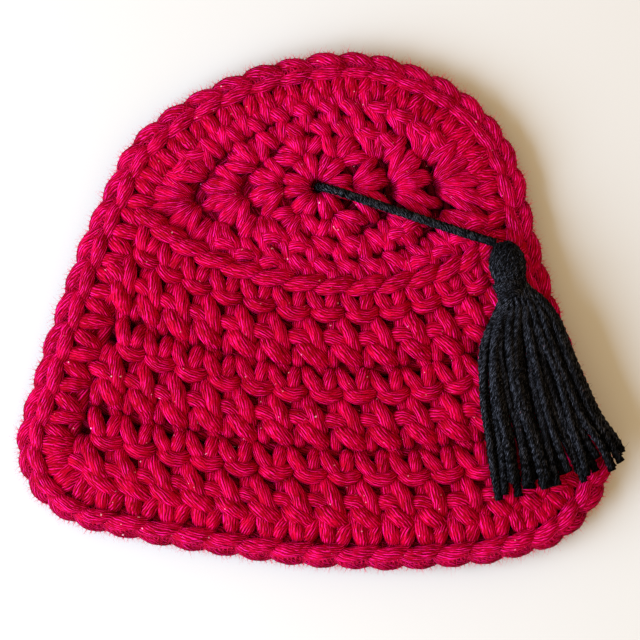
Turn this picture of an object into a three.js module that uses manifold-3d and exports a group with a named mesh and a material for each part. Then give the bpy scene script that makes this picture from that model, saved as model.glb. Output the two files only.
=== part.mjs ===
// A flat crocheted fez with a cord and tassel, lying on its back.
// +X is to the right, +Y towards the top of the crown and +Z up, away from the table.
// The origin is on the table, under the middle of the crocheted piece. Millimetres.
import * as THREE from "three";
import { mergeVertices } from "three/addons/utils/BufferGeometryUtils.js";
import Module from "manifold-3d";

const wasm = await Module();
wasm.setup();

// The crocheted piece
const WIDTH = 125; // between the edging's two lower corners
const HEIGHT = 109.4; // from the edging's lowest point to its highest
const FABRIC = 5.6; // thickness in the hollows between two stitches
const STITCH_RELIEF = 1.2; // how far a stitch stands above the hollows beside it
const SEAM = 0.3; // clearance between two neighbouring pieces

// The edging round
const EDGING_WIDTH = 9.4;
const EDGING_STITCHES = 54;

// The crown, worked in rounds from a ring
const CROWN_ACROSS = 0.013; // its centre, as a share of half the width
const CROWN_UP = 0.475; // its centre, as a share of half the height
const CROWN_TILT = -7; // degrees, its right end lies lower than its left end
const RING_RADIUS = 5.3;
const RING_HOLE = 1.6; // radius of the hole in the ring's middle, where the cord comes up
const RING_DISH = 1.4; // how far the hole's edge lies below the ring's stitches

// The ridge, an arc of an ellipse about the crown's centre
const RIDGE_REACH = 0.648; // half its long axis, as a share of half the width
const RIDGE_DROP = 0.378; // half its short axis, as a share of half the height
const RIDGE_WIDTH = 3.2;
const RIDGE_RISE = 0.7; // how far it stands above the stitches beside it
const RIDGE_LOOPS = 14;
const RIDGE_LOWEST = 270; // degrees round the crown, where its curve is lowest

// The cord and the tassel
const CORD_DIAMETER = 1.9;
const CORD_START = 3.4; // height of its end inside the ring's hole
const TASSEL_ACROSS = 0.645; // the top of its head, as a share of half the width
const TASSEL_UP = 0.24; // the same, as a share of half the height
const TASSEL_LEAN = -78; // degrees, the way the head points
const HEAD_LENGTH = 9.8;
const HEAD_WIDTH = 7.8;
const HEAD_DEPTH = 5.4;
const STRANDS_LENGTH = 41;
const LOCK_WIDTH = 4.6; // a lock holds three or four strands
const LOCK_DEPTH = 2.8;
const TASSEL_CLEARANCE = 0.5; // above the highest stitches

// How finely the surfaces are divided
const STEPS_PER_STITCH = 4;
const EDGING_STEPS = 3;
const CROWN_STEPS = 72;
const LOCK_STEPS = 7;
const LOCK_SIDES = 8;

// The edging's outer line, clockwise from the right corner, as shares of half the width and half the height.
const OUTLINE = [
  { across: 1.0, up: -0.56 },
  { across: 0.955, up: -0.74 },
  { across: 0.825, up: -0.895 },
  { across: 0.605, up: -0.97 },
  { across: 0.3, up: -0.999 },
  { across: -0.02, up: -0.988 },
  { across: -0.33, up: -0.942 },
  { across: -0.61, up: -0.884 },
  { across: -0.81, up: -0.826 },
  { across: -0.945, up: -0.705 },
  { across: -1.0, up: -0.53 },
  { across: -0.945, up: -0.27 },
  { across: -0.865, up: 0.02 },
  { across: -0.782, up: 0.28 },
  { across: -0.715, up: 0.45 },
  { across: -0.648, up: 0.61 },
  { across: -0.52, up: 0.76 },
  { across: -0.32, up: 0.89 },
  { across: -0.08, up: 0.979 },
  { across: 0.16, up: 1.0 },
  { across: 0.4, up: 0.925 },
  { across: 0.588, up: 0.772 },
  { across: 0.692, up: 0.58 },
  { across: 0.762, up: 0.26 },
  { across: 0.852, up: -0.08 },
  { across: 0.93, up: -0.33 },
];

// The two lower corners of the body inside the edging, as shares of half the width and half the height.
const BODY_CORNERS = {
  left: { across: -0.81, up: -0.68 },
  right: { across: 0.82, up: -0.7 },
};

// The body's rows from the ridge down. Every other row shows its back, a line of low knots, and the rest show tall posts.
const ROWS = [
  { name: "row_1", stitches: 13, share: 0.155, relief: 0.7 },
  { name: "row_2", stitches: 13, share: 0.179, relief: 1.0 },
  { name: "row_3", stitches: 14, share: 0.155, relief: 0.7 },
  { name: "row_4", stitches: 14, share: 0.179, relief: 1.0 },
  { name: "row_5", stitches: 15, share: 0.155, relief: 0.7 },
  { name: "row_6", stitches: 15, share: 0.177, relief: 1.0 },
];

// The crown's levels from the hole outwards: share of the way from the ring to the crown's edge, height, and stitches.
const CROWN_LEVELS = [
  { out: 0, relief: 1.0, stitches: 6 },
  { out: 0.17, relief: 0, stitches: 12 },
  { out: 0.34, relief: 0.9, stitches: 12 },
  { out: 0.5, relief: 0, stitches: 21 },
  { out: 0.67, relief: 0.9, stitches: 21 },
  { out: 0.83, relief: 0, stitches: 28 },
  { out: 1, relief: 0.6, stitches: 28 },
];

// The edging's section from its outer line inwards: a plait of top loops, then the stitches' posts.
const EDGING_LEVELS = [
  { in: 0, relief: -0.9 },
  { in: 0.16, relief: 0.8 },
  { in: 0.5, relief: 0.25 },
  { in: 0.76, relief: 1.0 },
  { in: 1, relief: 0.2 },
];

// Small gaps that go right through beside the edging: their centres as shares of half the width and height.
const GAPS = [
  { across: -0.622, up: 0.301, size: 2.4 },
  { across: -0.713, up: -0.066, size: 2.4 },
  { across: -0.716, up: -0.355, size: 2.2 },
  { across: 0.55, up: 0.36, size: 2.2 },
];

// The cord's rise out of the ring and its run to the tassel: share of the run, and share of its highest level.
const CORD_ROUTE = [
  { along: 0, up: 0 },
  { along: 0.012, up: 0.5 },
  { along: 0.05, up: 0.87 },
  { along: 0.12, up: 1.0 },
  { along: 0.35, up: 1.0 },
  { along: 0.6, up: 1.0 },
  { along: 0.85, up: 1.06 },
  { along: 1, up: 1.3 },
];

// The tassel's head and tie: share of the head's length, and shares of its width and depth.
const HEAD_SECTIONS = [
  { along: 0, wide: 0.3, deep: 0.36 },
  { along: 0.1, wide: 0.66, deep: 0.62 },
  { along: 0.3, wide: 1, deep: 0.94 },
  { along: 0.55, wide: 0.98, deep: 1 },
  { along: 0.72, wide: 0.84, deep: 0.96 },
  { along: 0.82, wide: 0.84, deep: 1 },
  { along: 0.9, wide: 0.78, deep: 0.94 },
  { along: 0.98, wide: 0.86, deep: 1 },
  { along: 1.12, wide: 0.6, deep: 0.7 },
];

// The tassel's locks, left to right: angle of fan in degrees, sideways bow, length, and layer.
const LOCKS = [
  { fan: -17.5, bow: -0.085, long: 0.93, layer: 0 },
  { fan: -12.5, bow: -0.05, long: 1.03, layer: 1 },
  { fan: -8, bow: -0.035, long: 1.0, layer: 0 },
  { fan: -3, bow: -0.01, long: 0.97, layer: 1 },
  { fan: 2, bow: 0, long: 0.96, layer: 0 },
  { fan: 7, bow: 0, long: 0.97, layer: 1 },
  { fan: 11, bow: 0.01, long: 0.99, layer: 0 },
  { fan: 14.5, bow: 0.01, long: 1.0, layer: 1 },
  { fan: 17, bow: 0.02, long: 0.98, layer: 0 },
];

// A lock's section from the tie to its tip: share of its length, and shares of its width and depth.
const LOCK_SECTIONS = [
  { along: 0, wide: 0.5, deep: 1 },
  { along: 0.3, wide: 0.85, deep: 1 },
  { along: 0.7, wide: 1, deep: 0.9 },
  { along: 0.96, wide: 0.95, deep: 0.85 },
  { along: 1, wide: 0.6, deep: 0.5 },
];

const crimson = new THREE.MeshStandardMaterial({ color: 0xb4052f, roughness: 0.9, metalness: 0 });
const black = new THREE.MeshStandardMaterial({ color: 0x1e1214, roughness: 0.92, metalness: 0 });

const onPiece = ({ across, up }) => new THREE.Vector2((across * WIDTH) / 2, (up * HEIGHT) / 2);

// A table's column at any share between its rows.
function readTable(table, key, column, share) {
  const last = table.length - 1;
  for (let i = 0; i < last; i += 1) {
    if (share <= table[i + 1][key]) {
      const gap = table[i + 1][key] - table[i][key];
      return THREE.MathUtils.lerp(table[i][column], table[i + 1][column], (share - table[i][key]) / gap);
    }
  }
  return table[last][column];
}

function closedGeometry(positions, faces) {
  const geometry = new THREE.BufferGeometry();
  geometry.setAttribute("position", new THREE.Float32BufferAttribute(positions.flat(), 3));
  geometry.setIndex(faces.flat());
  geometry.computeVertexNormals();
  return geometry;
}

// A crocheted panel: its upper side follows place(u, v) and height(u, v), and its underside is flat on the table.
function panel({ columns, rows, round, place, height }) {
  const lines = round ? columns : columns + 1;
  const positions = [];
  const faces = [];
  for (let i = 0; i < lines; i += 1) {
    for (let j = 0; j <= rows; j += 1) {
      const spot = place(i / columns, j / rows);
      positions.push([spot.x, spot.y, height(i / columns, j / rows)]);
    }
    for (const edge of [0, 1]) {
      const spot = place(i / columns, edge);
      positions.push([spot.x, spot.y, 0]);
    }
  }
  const stride = rows + 3;
  const top = (i, j) => (i % lines) * stride + j;
  const foot = (i, edge) => (i % lines) * stride + rows + 1 + edge;
  for (let i = 0; i < columns; i += 1) {
    for (let j = 0; j < rows; j += 1) {
      faces.push([top(i, j), top(i, j + 1), top(i + 1, j)]);
      faces.push([top(i + 1, j), top(i, j + 1), top(i + 1, j + 1)]);
    }
    faces.push([foot(i, 0), top(i, 0), foot(i + 1, 0)], [foot(i + 1, 0), top(i, 0), top(i + 1, 0)]);
    faces.push([top(i, rows), foot(i, 1), top(i + 1, rows)]);
    faces.push([top(i + 1, rows), foot(i, 1), foot(i + 1, 1)]);
    faces.push([foot(i, 1), foot(i, 0), foot(i + 1, 1)], [foot(i + 1, 1), foot(i, 0), foot(i + 1, 0)]);
  }
  if (!round) {
    for (let j = 0; j < rows; j += 1) {
      faces.push([foot(0, 0), top(0, j + 1), top(0, j)]);
      faces.push([foot(columns, 0), top(columns, j), top(columns, j + 1)]);
    }
    faces.push([foot(0, 0), foot(0, 1), top(0, rows)]);
    faces.push([foot(columns, 0), top(columns, rows), foot(columns, 1)]);
  }
  return closedGeometry(positions, faces);
}

// A closed tube of changing oval section along a line of points. Its sections stand upright on the table.
function tube(points, sectionAt, sides) {
  const positions = [];
  const faces = [];
  const last = points.length - 1;
  points.forEach((point, i) => {
    const along = points[Math.min(i + 1, last)].clone().sub(points[Math.max(i - 1, 0)]).normalize();
    const side = new THREE.Vector3(along.y, -along.x, 0).normalize();
    const over = new THREE.Vector3().crossVectors(side, along);
    const { wide, deep } = sectionAt(i / last);
    for (let k = 0; k < sides; k += 1) {
      const turn = (k / sides) * 2 * Math.PI;
      const spot = point.clone();
      spot.addScaledVector(side, (Math.cos(turn) * wide) / 2);
      spot.addScaledVector(over, (Math.sin(turn) * deep) / 2);
      positions.push(spot.toArray());
    }
  });
  for (let i = 0; i < last; i += 1) {
    for (let k = 0; k < sides; k += 1) {
      const next = (k + 1) % sides;
      faces.push([i * sides + k, (i + 1) * sides + k, i * sides + next]);
      faces.push([i * sides + next, (i + 1) * sides + k, (i + 1) * sides + next]);
    }
  }
  for (let k = 1; k < sides - 1; k += 1) {
    faces.push([0, k, k + 1]);
    faces.push([last * sides, last * sides + k + 1, last * sides + k]);
  }
  return closedGeometry(positions, faces);
}

function solidOf(geometry) {
  const bare = geometry.clone();
  bare.deleteAttribute("normal");
  bare.deleteAttribute("uv");
  const merged = mergeVertices(bare, 1e-4);
  const mesh = new wasm.Mesh({
    numProp: 3,
    vertProperties: merged.attributes.position.array,
    triVerts: new Uint32Array(merged.index.array),
  });
  return new wasm.Manifold(mesh);
}

function geometryOf(solid) {
  const mesh = solid.getMesh();
  const geometry = new THREE.BufferGeometry();
  geometry.setAttribute("position", new THREE.BufferAttribute(new Float32Array(mesh.vertProperties), 3));
  geometry.setIndex([...mesh.triVerts]);
  geometry.computeVertexNormals();
  return geometry;
}

// The edging's lines
const outline = new THREE.CatmullRomCurve3(
  OUTLINE.map((row) => new THREE.Vector3(...onPiece(row).toArray(), 0)),
  true,
  "centripetal",
);
outline.arcLengthDivisions = 800;

function insideOutline(share, depth) {
  const point = outline.getPointAt(share % 1);
  const along = outline.getTangentAt(share % 1);
  return new THREE.Vector2(point.x + along.y * depth, point.y - along.x * depth);
}

// The edging's inner line with the seam, the bed in which the crown and the body lie
const BED_POINTS = 480;
const bed = Array.from({ length: BED_POINTS }, (_, i) => insideOutline(i / BED_POINTS, EDGING_WIDTH + SEAM));
const nearest = (spot) =>
  bed.reduce((best, point, i) => (point.distanceTo(spot) < bed[best].distanceTo(spot) ? i : best), 0);

function insideBed(spot) {
  let inside = false;
  bed.forEach((from, i) => {
    const to = bed[(i + 1) % BED_POINTS];
    const crosses = from.y > spot.y !== to.y > spot.y;
    if (crosses && spot.x < from.x + ((to.x - from.x) * (spot.y - from.y)) / (to.y - from.y)) {
      inside = !inside;
    }
  });
  return inside;
}

// The bed's line from one spot on it to another, as a function of the share of its length.
function bedLine(fromSpot, toSpot) {
  const from = nearest(fromSpot);
  const to = nearest(toSpot);
  const step = (to - from + BED_POINTS) % BED_POINTS <= BED_POINTS / 2 ? 1 : -1;
  const points = [fromSpot];
  for (let i = from + 2 * step; (i - to + 3 * BED_POINTS) % BED_POINTS !== 0; i += step) {
    points.push(bed[(i + BED_POINTS) % BED_POINTS]);
  }
  points.push(toSpot);
  const lengths = [0];
  for (let i = 1; i < points.length; i += 1) {
    lengths.push(lengths[i - 1] + points[i].distanceTo(points[i - 1]));
  }
  return (share) => {
    const wanted = share * lengths[lengths.length - 1];
    const i = Math.max(1, lengths.findIndex((length) => length >= wanted - 1e-9));
    const part = (wanted - lengths[i - 1]) / (lengths[i] - lengths[i - 1]);
    return points[i - 1].clone().lerp(points[i], part);
  };
}

// The crown's ellipse and the ridge along it
const crownCentre = onPiece({ across: CROWN_ACROSS, up: CROWN_UP });
const ridgeReach = (RIDGE_REACH * WIDTH) / 2;
const ridgeDrop = (RIDGE_DROP * HEIGHT) / 2;

function ridgeSpot(degrees, outwards) {
  const turn = THREE.MathUtils.degToRad(degrees);
  const spot = new THREE.Vector2(Math.cos(turn) * ridgeReach, Math.sin(turn) * ridgeDrop);
  const outward = new THREE.Vector2(Math.cos(turn) / ridgeReach, Math.sin(turn) / ridgeDrop).normalize();
  spot.addScaledVector(outward, outwards);
  return spot.rotateAround(new THREE.Vector2(), THREE.MathUtils.degToRad(CROWN_TILT)).add(crownCentre);
}

// Where a line beside the ridge meets the bed, in degrees round the ellipse from its lowest point.
function ridgeEnd(outwards, way) {
  let near = 0;
  let far = 110;
  for (let i = 0; i < 30; i += 1) {
    const middle = (near + far) / 2;
    if (insideBed(ridgeSpot(RIDGE_LOWEST + way * middle, outwards))) {
      near = middle;
    } else {
      far = middle;
    }
  }
  return near;
}

function ridgeLine(outwards) {
  const left = RIDGE_LOWEST - ridgeEnd(outwards, -1);
  const right = RIDGE_LOWEST + ridgeEnd(outwards, 1);
  return (u) => ridgeSpot(THREE.MathUtils.lerp(left, right, u), outwards);
}

// How far the crown reaches from its centre in a direction: to the edging's bed, or to the ridge if that comes first.
const RIDGE_POINTS = 120;
const ridgeInner = Array.from({ length: RIDGE_POINTS }, (_, i) =>
  ridgeSpot((i / RIDGE_POINTS) * 360, -RIDGE_WIDTH / 2 - SEAM),
);

function reachTo(line, direction) {
  let reach = Infinity;
  line.forEach((from, i) => {
    const edge = line[(i + 1) % line.length].clone().sub(from);
    const start = from.clone().sub(crownCentre);
    const cross = direction.x * edge.y - direction.y * edge.x;
    const distance = (start.x * edge.y - start.y * edge.x) / cross;
    const share = (start.x * direction.y - start.y * direction.x) / cross;
    if (distance > 0 && share >= 0 && share <= 1) {
      reach = Math.min(reach, distance);
    }
  });
  return reach;
}

function crownSpot(u, v) {
  const turn = u * 2 * Math.PI;
  const squash = ridgeDrop / ridgeReach;
  const lower = Math.sin(turn) < 0;
  const direction = new THREE.Vector2(Math.cos(turn), Math.sin(turn) * squash).normalize();
  direction.rotateAround(new THREE.Vector2(), THREE.MathUtils.degToRad(CROWN_TILT));
  const reach = Math.min(reachTo(bed, direction), lower ? reachTo(ridgeInner, direction) : Infinity);
  const ringMiddle = (RING_RADIUS + RING_HOLE) / 2;
  const level = v * CROWN_LEVELS.length;
  if (level < 1) {
    return crownCentre.clone().addScaledVector(direction, THREE.MathUtils.lerp(RING_HOLE, ringMiddle, level));
  }
  const out = CROWN_LEVELS[Math.round(level) - 1].out;
  return crownCentre.clone().addScaledVector(direction, THREE.MathUtils.lerp(ringMiddle, reach, out));
}

function crownHeight(u, v) {
  const level = Math.round(v * CROWN_LEVELS.length);
  if (level === 0) {
    return FABRIC - RING_DISH;
  }
  const { relief, stitches } = CROWN_LEVELS[level - 1];
  const stitch = 0.5 + 0.5 * Math.cos(u * 2 * Math.PI * stitches);
  return FABRIC + STITCH_RELIEF * relief * (0.4 + 0.6 * stitch);
}

// The body between the ridge and the edging
const topLine = ridgeLine(RIDGE_WIDTH / 2 + SEAM);
const cornerLeft = bed[nearest(onPiece(BODY_CORNERS.left))];
const cornerRight = bed[nearest(onPiece(BODY_CORNERS.right))];
const leftLine = bedLine(topLine(0), cornerLeft);
const rightLine = bedLine(topLine(1), cornerRight);
const bottomLine = bedLine(cornerLeft, cornerRight);

function bodySpot(u, v) {
  const spot = topLine(u).multiplyScalar(1 - v);
  spot.addScaledVector(bottomLine(u), v);
  spot.addScaledVector(leftLine(v), 1 - u).addScaledVector(rightLine(v), u);
  spot.addScaledVector(leftLine(0), -(1 - u) * (1 - v)).addScaledVector(rightLine(0), -u * (1 - v));
  spot.addScaledVector(leftLine(1), -(1 - u) * v).addScaledVector(rightLine(1), -u * v);
  return spot;
}

// The gaps, as pins that are cut out of the pieces round them
const pins = GAPS.map((gap) => {
  const spot = onPiece(gap);
  const pin = new THREE.CylinderGeometry(gap.size / 2, gap.size / 2, 4 * FABRIC, 10);
  pin.rotateX(Math.PI / 2);
  pin.translate(spot.x, spot.y, 0);
  return solidOf(pin);
});
const withGaps = (geometry) => geometryOf(pins.reduce((solid, pin) => solid.subtract(pin), solidOf(geometry)));

const fez = new THREE.Group();

function add(name, geometry, material) {
  const mesh = new THREE.Mesh(geometry, material);
  mesh.name = name;
  fez.add(mesh);
}

const crown = panel({
  columns: CROWN_STEPS,
  rows: CROWN_LEVELS.length,
  round: true,
  place: crownSpot,
  height: crownHeight,
});
add("crown", withGaps(crown), crimson);

const ridgeLines = [-0.5, -0.25, 0, 0.25, 0.5].map((share) => ridgeLine(share * RIDGE_WIDTH));
const ridge = panel({
  columns: RIDGE_LOOPS * STEPS_PER_STITCH,
  rows: ridgeLines.length - 1,
  round: false,
  place: (u, v) => ridgeLines[Math.round(v * (ridgeLines.length - 1))](u),
  height: (u, v) => {
    const loop = 0.7 + 0.3 * Math.cos((u * RIDGE_LOOPS - v * 0.5) * 2 * Math.PI);
    return FABRIC + (STITCH_RELIEF + RIDGE_RISE) * Math.sin(v * Math.PI) * loop;
  },
});
add("ridge", ridge, crimson);

let rowStart = 0;
ROWS.forEach(({ name, stitches, share, relief }) => {
  const start = rowStart;
  rowStart += share;
  const middle = bodySpot(0.5, 0).distanceTo(bodySpot(0.5, 1));
  const trim = SEAM / 2 / middle;
  const row = panel({
    columns: stitches * STEPS_PER_STITCH,
    rows: 4,
    round: false,
    place: (u, v) => bodySpot(u, THREE.MathUtils.lerp(start + trim, start + share - trim, v)),
    height: (u, v) => {
      const stitch = 0.5 - 0.5 * Math.cos(u * stitches * 2 * Math.PI);
      const arch = Math.sin(v * Math.PI);
      return FABRIC + STITCH_RELIEF * relief * arch * (0.35 + 0.65 * stitch);
    },
  });
  add(name, withGaps(row), crimson);
});

const edging = panel({
  columns: EDGING_STITCHES * EDGING_STEPS,
  rows: EDGING_LEVELS.length - 1,
  round: true,
  place: (u, v) => {
    const level = EDGING_LEVELS[Math.round(v * (EDGING_LEVELS.length - 1))];
    return insideOutline(u, level.in * EDGING_WIDTH);
  },
  height: (u, v) => {
    const { relief } = EDGING_LEVELS[Math.round(v * (EDGING_LEVELS.length - 1))];
    const stitch = 0.5 + 0.5 * Math.cos(u * EDGING_STITCHES * 2 * Math.PI);
    return FABRIC + STITCH_RELIEF * relief * (relief > 0 ? 0.6 + 0.4 * stitch : 1);
  },
});
add("edging", withGaps(edging), crimson);

// The tassel's frame: it lies on the stitches, and its head points down and a little to the right.
const tasselTop = onPiece({ across: TASSEL_ACROSS, up: TASSEL_UP });
const tasselFloor = FABRIC + STITCH_RELIEF + TASSEL_CLEARANCE;
const lean = THREE.MathUtils.degToRad(TASSEL_LEAN);
const tasselWay = new THREE.Vector3(Math.cos(lean), Math.sin(lean), 0);
const headAt = (share) =>
  new THREE.Vector3(tasselTop.x, tasselTop.y, tasselFloor + HEAD_DEPTH / 2).addScaledVector(
    tasselWay,
    share * HEAD_LENGTH,
  );

const headPoints = HEAD_SECTIONS.map((row) => headAt(row.along));
const head = tube(
  headPoints,
  (share) => {
    const section = HEAD_SECTIONS[Math.round(share * (HEAD_SECTIONS.length - 1))];
    return { wide: section.wide * HEAD_WIDTH, deep: section.deep * HEAD_DEPTH };
  },
  12,
);

const locks = LOCKS.map(({ fan, bow, long, layer }) => {
  const way = tasselWay.clone().applyAxisAngle(new THREE.Vector3(0, 0, 1), THREE.MathUtils.degToRad(fan));
  const side = new THREE.Vector3(way.y * -1, way.x, 0);
  const across = tasselWay.clone().applyAxisAngle(new THREE.Vector3(0, 0, 1), Math.PI / 2);
  const length = STRANDS_LENGTH * long;
  const begin = headAt(0.92).addScaledVector(across, (fan / LOCKS[LOCKS.length - 1].fan) * HEAD_WIDTH * 0.2);
  const points = [];
  for (let i = 0; i <= LOCK_STEPS; i += 1) {
    const share = i / LOCK_STEPS;
    const point = begin.clone().addScaledVector(way, share * length);
    point.addScaledVector(side, Math.sin(share * Math.PI) * bow * length);
    const resting = tasselFloor + LOCK_DEPTH / 2 + layer * LOCK_DEPTH * 0.45;
    point.z = THREE.MathUtils.lerp(begin.z, resting, Math.min(1, share * 2.2));
    points.push(point);
  }
  return tube(
    points,
    (share) => ({
      wide: LOCK_WIDTH * readTable(LOCK_SECTIONS, "along", "wide", share),
      deep: LOCK_DEPTH * readTable(LOCK_SECTIONS, "along", "deep", share),
    }),
    LOCK_SIDES,
  );
});
const tassel = locks.reduce((solid, lock) => solid.add(solidOf(lock)), solidOf(head));
add("tassel", geometryOf(tassel), black);

// The cord rises out of the ring's hole and lies on the crown up to the tassel's head.
const headTop = headAt(0);
const cordWay = new THREE.Vector2(headTop.x, headTop.y).sub(crownCentre).normalize();
const headTopRadius = (HEAD_SECTIONS[0].wide * HEAD_WIDTH) / 2;
const cordEnd = new THREE.Vector2(headTop.x, headTop.y).addScaledVector(cordWay, -headTopRadius - SEAM);
const cordLevel = tasselFloor + CORD_DIAMETER / 2;
const cordPoints = CORD_ROUTE.map(({ along, up }) => {
  const spot = crownCentre.clone().lerp(cordEnd, along);
  return new THREE.Vector3(spot.x, spot.y, THREE.MathUtils.lerp(CORD_START, cordLevel, up));
});
const cordSection = new THREE.Shape();
for (let k = 0; k < 8; k += 1) {
  const turn = (k / 8) * 2 * Math.PI;
  const corner = [(Math.cos(turn) * CORD_DIAMETER) / 2, (Math.sin(turn) * CORD_DIAMETER) / 2];
  if (k === 0) {
    cordSection.moveTo(...corner);
  } else {
    cordSection.lineTo(...corner);
  }
}
cordSection.closePath();
const cord = new THREE.ExtrudeGeometry(cordSection, {
  steps: 20,
  extrudePath: new THREE.CatmullRomCurve3(cordPoints, false, "centripetal"),
});
add("tassel_cord", cord, black);

export default fez;
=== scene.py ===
# %% [markdown]
# # A crocheted fez, flat, with a cord and a tassel
# The real piece is one layer of crochet in raspberry cotton: an oval crown worked in rounds, six rows below it, and an
# edging round along the whole outline. A black cord leaves the crown's ring and ends in a tassel.
# The solids of the frame give each piece's place and size. This lesson lays the yarn itself over them, stitch by
# stitch. The frame is in metres and the tables below are in millimetres, and MM leads from one to the other.

# %% Load the frame
import math
import random
import bpy
import numpy as np
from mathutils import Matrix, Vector


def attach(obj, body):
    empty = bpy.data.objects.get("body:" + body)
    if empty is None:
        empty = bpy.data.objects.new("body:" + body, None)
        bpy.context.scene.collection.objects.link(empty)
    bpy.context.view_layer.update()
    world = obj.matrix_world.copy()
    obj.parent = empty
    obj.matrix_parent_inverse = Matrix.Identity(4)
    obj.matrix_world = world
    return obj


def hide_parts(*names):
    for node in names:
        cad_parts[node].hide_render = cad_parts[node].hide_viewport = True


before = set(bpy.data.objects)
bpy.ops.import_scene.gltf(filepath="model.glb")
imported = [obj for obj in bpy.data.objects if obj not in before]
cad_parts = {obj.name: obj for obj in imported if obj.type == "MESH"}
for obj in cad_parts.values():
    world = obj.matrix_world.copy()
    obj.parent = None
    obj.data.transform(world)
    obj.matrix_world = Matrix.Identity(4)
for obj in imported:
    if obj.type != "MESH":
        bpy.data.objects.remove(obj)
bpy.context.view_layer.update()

MM = 0.001

# %% [markdown]
# ## Sizes
# These are the sizes that the solids were made from, in millimetres. Crochet has a pitch from stitch to stitch and a
# height from row to row, and both follow from the yarn.

# %% The hat's sizes
WIDTH = 125.0
HEIGHT = 109.4
# The outline's points as shares of half the width and half the height, clockwise from the right corner.
OUTLINE = [
    (1.0, -0.56), (0.955, -0.74), (0.825, -0.895), (0.605, -0.97), (0.3, -0.999), (-0.02, -0.988), (-0.33, -0.942),
    (-0.61, -0.884), (-0.81, -0.826), (-0.945, -0.705), (-1.0, -0.53), (-0.945, -0.27), (-0.865, 0.02),
    (-0.782, 0.28), (-0.715, 0.45), (-0.648, 0.61), (-0.52, 0.76), (-0.32, 0.89), (-0.08, 0.979), (0.16, 1.0),
    (0.4, 0.925), (0.588, 0.772), (0.692, 0.58), (0.762, 0.26), (0.852, -0.08), (0.93, -0.33),
]
EDGING_WIDTH = 9.4
SEAM = 0.3  # the gap between two solids
CROWN_CENTRE = np.array([0.013 * WIDTH / 2, 0.475 * HEIGHT / 2])
CROWN_TILT = math.radians(-7)
RIDGE_REACH = 0.648 * WIDTH / 2  # the ridge is part of an oval: half of its long axis
RIDGE_DROP = 0.378 * HEIGHT / 2  # and half of its short axis
RIDGE_WIDTH = 3.2
print("Pieces in the frame:", sorted(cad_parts))

# %% The yarn's sizes
YARN_RADIUS = 1.6
PITCH = 6.6  # from one stitch to the next
ROW_HEIGHT = 8.65
FABRIC_TOP = 6.8
FABRIC_MIDDLE = 3.45  # height of the fabric's middle above the table
PRESSED = 0.86  # how flat the stitches are pressed
SOFT_ENDS = 0.64  # soft yarn is squeezed where it dives under its neighbours and swells where it is free
print("Stitches in the hat's width:", round(WIDTH / PITCH, 1))

# %% [markdown]
# ## Camera
# The photograph looks almost straight down, from a little in front of the lower edge. A long lens from half a metre
# keeps the mild perspective that the outline shows.

# %% Set up the camera
SENSOR = 36.0
PICTURE_WIDTH = 135.1  # how much of the table the picture shows
DISTANCE = 500.0
LOOK_AT = Vector((1.27, -2.1, 3.0)) * MM
ELEVATION = math.radians(86)
camera_data = bpy.data.cameras.new("photo_camera")
camera_data.sensor_width = SENSOR
camera_data.lens = SENSOR * DISTANCE / PICTURE_WIDTH
camera = bpy.data.objects.new("photo_camera", camera_data)
bpy.context.scene.collection.objects.link(camera)
towards_camera = Vector((0, -math.cos(ELEVATION), math.sin(ELEVATION)))
camera.location = LOOK_AT + towards_camera * DISTANCE * MM
camera.rotation_euler = (math.pi / 2 - ELEVATION, 0, 0)
bpy.context.scene.camera = camera
print("Lens in millimetres:", round(camera_data.lens, 1))

# %% [markdown]
# ## Yarn
# A strand is a curve with a bevel. The bevel's outline has lobes like the plies of real yarn, and the tilt turns it
# along the strand, so the plies wind round. The strands could be modelled as tubes, but curves are quick to lay and
# turn into a mesh in one step. Each is given by a few points, so the first helper draws a smooth line through them.

# %% A line through a few points, in even steps
SAMPLES = 12  # from each point to the next, before the line is divided evenly


def smooth_line(points, step, closed=False):
    """A line that passes through each point and makes no loop where two of them lie close together."""
    points = np.array(points, float)
    if closed:
        padded = np.vstack([points[-1:], points, points[:2]])
    else:
        padded = np.vstack([2 * points[0] - points[1], points, 2 * points[-1] - points[-2]])
    dense = []
    for i in range(1, len(padded) - 2):
        before, start, end, after = padded[i - 1 : i + 3]
        knots = [0.0]
        for a, b in ((before, start), (start, end), (end, after)):
            knots.append(knots[-1] + max(np.linalg.norm(b - a), 1e-9) ** 0.5)
        for share in np.linspace(0, 1, SAMPLES + 1)[:-1]:
            t = knots[1] + share * (knots[2] - knots[1])
            a1 = (before * (knots[1] - t) + start * (t - knots[0])) / (knots[1] - knots[0])
            a2 = (start * (knots[2] - t) + end * (t - knots[1])) / (knots[2] - knots[1])
            a3 = (end * (knots[3] - t) + after * (t - knots[2])) / (knots[3] - knots[2])
            b1 = (a1 * (knots[2] - t) + a2 * (t - knots[0])) / (knots[2] - knots[0])
            b2 = (a2 * (knots[3] - t) + a3 * (t - knots[1])) / (knots[3] - knots[1])
            dense.append((b1 * (knots[2] - t) + b2 * (t - knots[1])) / (knots[2] - knots[1]))
    dense.append(points[0] if closed else points[-1])
    dense = np.array(dense)
    lengths = np.concatenate([[0], np.cumsum(np.linalg.norm(np.diff(dense, axis=0), axis=1))])
    count = max(4, int(round(lengths[-1] / step)) + 1)
    wanted = np.linspace(0, lengths[-1], count)
    return np.stack([np.interp(wanted, lengths, dense[:, k]) for k in range(dense.shape[1])], axis=1)


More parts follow.
